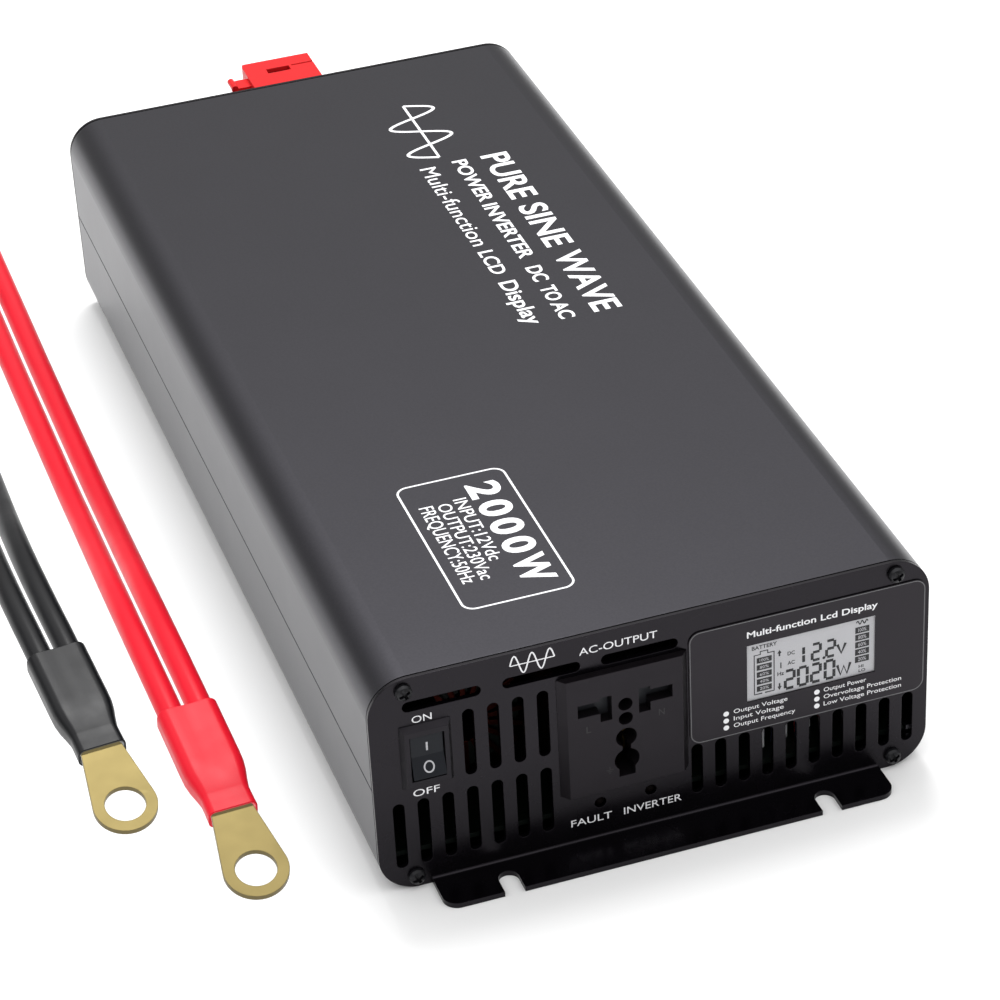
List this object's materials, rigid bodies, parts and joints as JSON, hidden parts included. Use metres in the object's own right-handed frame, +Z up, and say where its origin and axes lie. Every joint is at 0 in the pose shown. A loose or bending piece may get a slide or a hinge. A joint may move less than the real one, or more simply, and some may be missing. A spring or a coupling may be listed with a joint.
{
  "type": "power inverter",
  "caption": "Low extruded metal case with flanged end panels, display, rocker switch, shuttered socket, rear fans, hinged battery terminal covers and loose ring-ended leads.",
  "frame": {"origin": "on the standing surface, under the middle of the inverter's box without its loose leads", "axes": "+X to the right as seen from the front panel, +Y from the front panel to the rear panel, +Z up"},
  "size_m": [0.2403, 0.5848, 0.072],
  "materials": {
    "shell": "matte dark grey anodised",
    "panel": "black powder coat",
    "black_screw": "blackened steel",
    "label": "satin printed film",
    "window": "clear",
    "lcd": "grey liquid crystal cell",
    "circuit_board": "green solder resist",
    "led": "tinted lens",
    "black_plastic": "fine grained",
    "rocker": "satin",
    "socket": "fine grained",
    "shutter": "smooth",
    "steel": "zinc plated",
    "guard": "bright wire",
    "brass": "plain",
    "fan": "moulded",
    "red_plastic": "satin moulded",
    "core": "sintered ferrite",
    "ring_core": "coated powder core",
    "tape": "winding tape",
    "copper": "enamelled copper",
    "can": "printed sleeve",
    "film": "epoxy box",
    "aluminium": "milled",
    "fuse": "clear yellow",
    "wire": "insulation",
    "red_wire": "soft PVC",
    "black_wire": "soft PVC",
    "lug": "plated"
  },
  "bodies": {
    "case": {"top_shell": "shell", "bottom_shell": "shell", "front_panel": "panel", "rear_panel": "panel", "front_panel_screws": "black_screw", "rear_panel_screws": "black_screw", "display_label": "label", "display_window": "window", "display_lcd": "lcd", "display_board": "circuit_board", "display_standoffs": "steel", "status_leds": "led", "led_board": "circuit_board", "switch_housing": "black_plastic", "switch_tabs": "steel", "socket_face": "socket", "socket_body": "black_plastic", "shutter_springs": "steel", "live_neutral_contacts": "brass", "earth_contact": "brass", "left_fan_frame": "fan", "right_fan_frame": "fan", "fan_guards": "guard", "fan_screws": "black_screw", "red_terminal_base": "red_plastic", "black_terminal_base": "black_plastic", "terminal_studs": "steel", "terminal_nuts": "steel", "terminal_washers": "steel", "cover_hinge_pins": "steel", "main_board": "circuit_board", "control_board": "circuit_board", "transformer_cores": "core", "transformer_windings": "tape", "choke_cores": "ring_core", "choke_windings": "copper", "input_capacitors": "can", "bus_capacitors": "can", "film_capacitors": "film", "heat_spreaders": "aluminium", "power_transistors": "black_plastic", "clamp_bars": "steel", "clamp_screws": "black_screw", "fuses": "fuse", "bus_bars": "copper", "panel_wires": "wire", "red_wire_outer": "red_wire", "red_wire_inner": "red_wire", "black_wire_outer": "black_wire", "black_wire_inner": "black_wire", "lead_lugs": "lug", "red_sleeves": "red_wire", "black_sleeves": "black_wire"},
    "rocker": {"switch_rocker": "rocker"},
    "left_shutter": {"left_shutter": "shutter"},
    "right_shutter": {"right_shutter": "shutter"},
    "left_fan_rotor": {"left_fan_rotor": "fan"},
    "right_fan_rotor": {"right_fan_rotor": "fan"},
    "red_cover": {"red_terminal_cover": "red_plastic"},
    "black_cover": {"black_terminal_cover": "black_plastic"}
  },
  "joints": [
    {"name": "power_rocker", "type": "hinge", "parent": "case", "child": "rocker", "pos_m": [-0.0672, -0.1865, 0.0456], "axis": [1, 0, 0], "range_deg": [0, 18]},
    {"name": "right_shutter_slide", "type": "slide", "parent": "case", "child": "right_shutter", "axis": [0, 0, -1], "range_m": [0, 0.0096], "stiffness_N_per_m": 60, "springref_m": -0.004},
    {"name": "left_shutter_slide", "type": "slide", "parent": "case", "child": "left_shutter", "axis": [0, 0, -1], "range_m": [0, 0.0096], "stiffness_N_per_m": 60, "springref_m": -0.004, "deforming": ["shutter_springs"]},
    {"name": "left_fan_spin", "type": "hinge", "parent": "case", "child": "left_fan_rotor", "pos_m": [-0.045, 0.1564, 0.036], "axis": [0, 1, 0], "continuous": true},
    {"name": "right_fan_spin", "type": "hinge", "parent": "case", "child": "right_fan_rotor", "pos_m": [0.045, 0.1564, 0.036], "axis": [0, 1, 0], "continuous": true},
    {"name": "red_cover_hinge", "type": "hinge", "parent": "case", "child": "red_cover", "pos_m": [0.0162, 0.179, 0.0552], "axis": [0, 0, -1], "range_deg": [0, 90]},
    {"name": "black_cover_hinge", "type": "hinge", "parent": "case", "child": "black_cover", "pos_m": [0.0162, 0.179, 0.0168], "axis": [0, 0, -1], "range_deg": [0, 90]}
  ],
  "couplings": [
    {"joint": "left_shutter_slide", "follows": "right_shutter_slide", "ratio": 1}
  ]
}
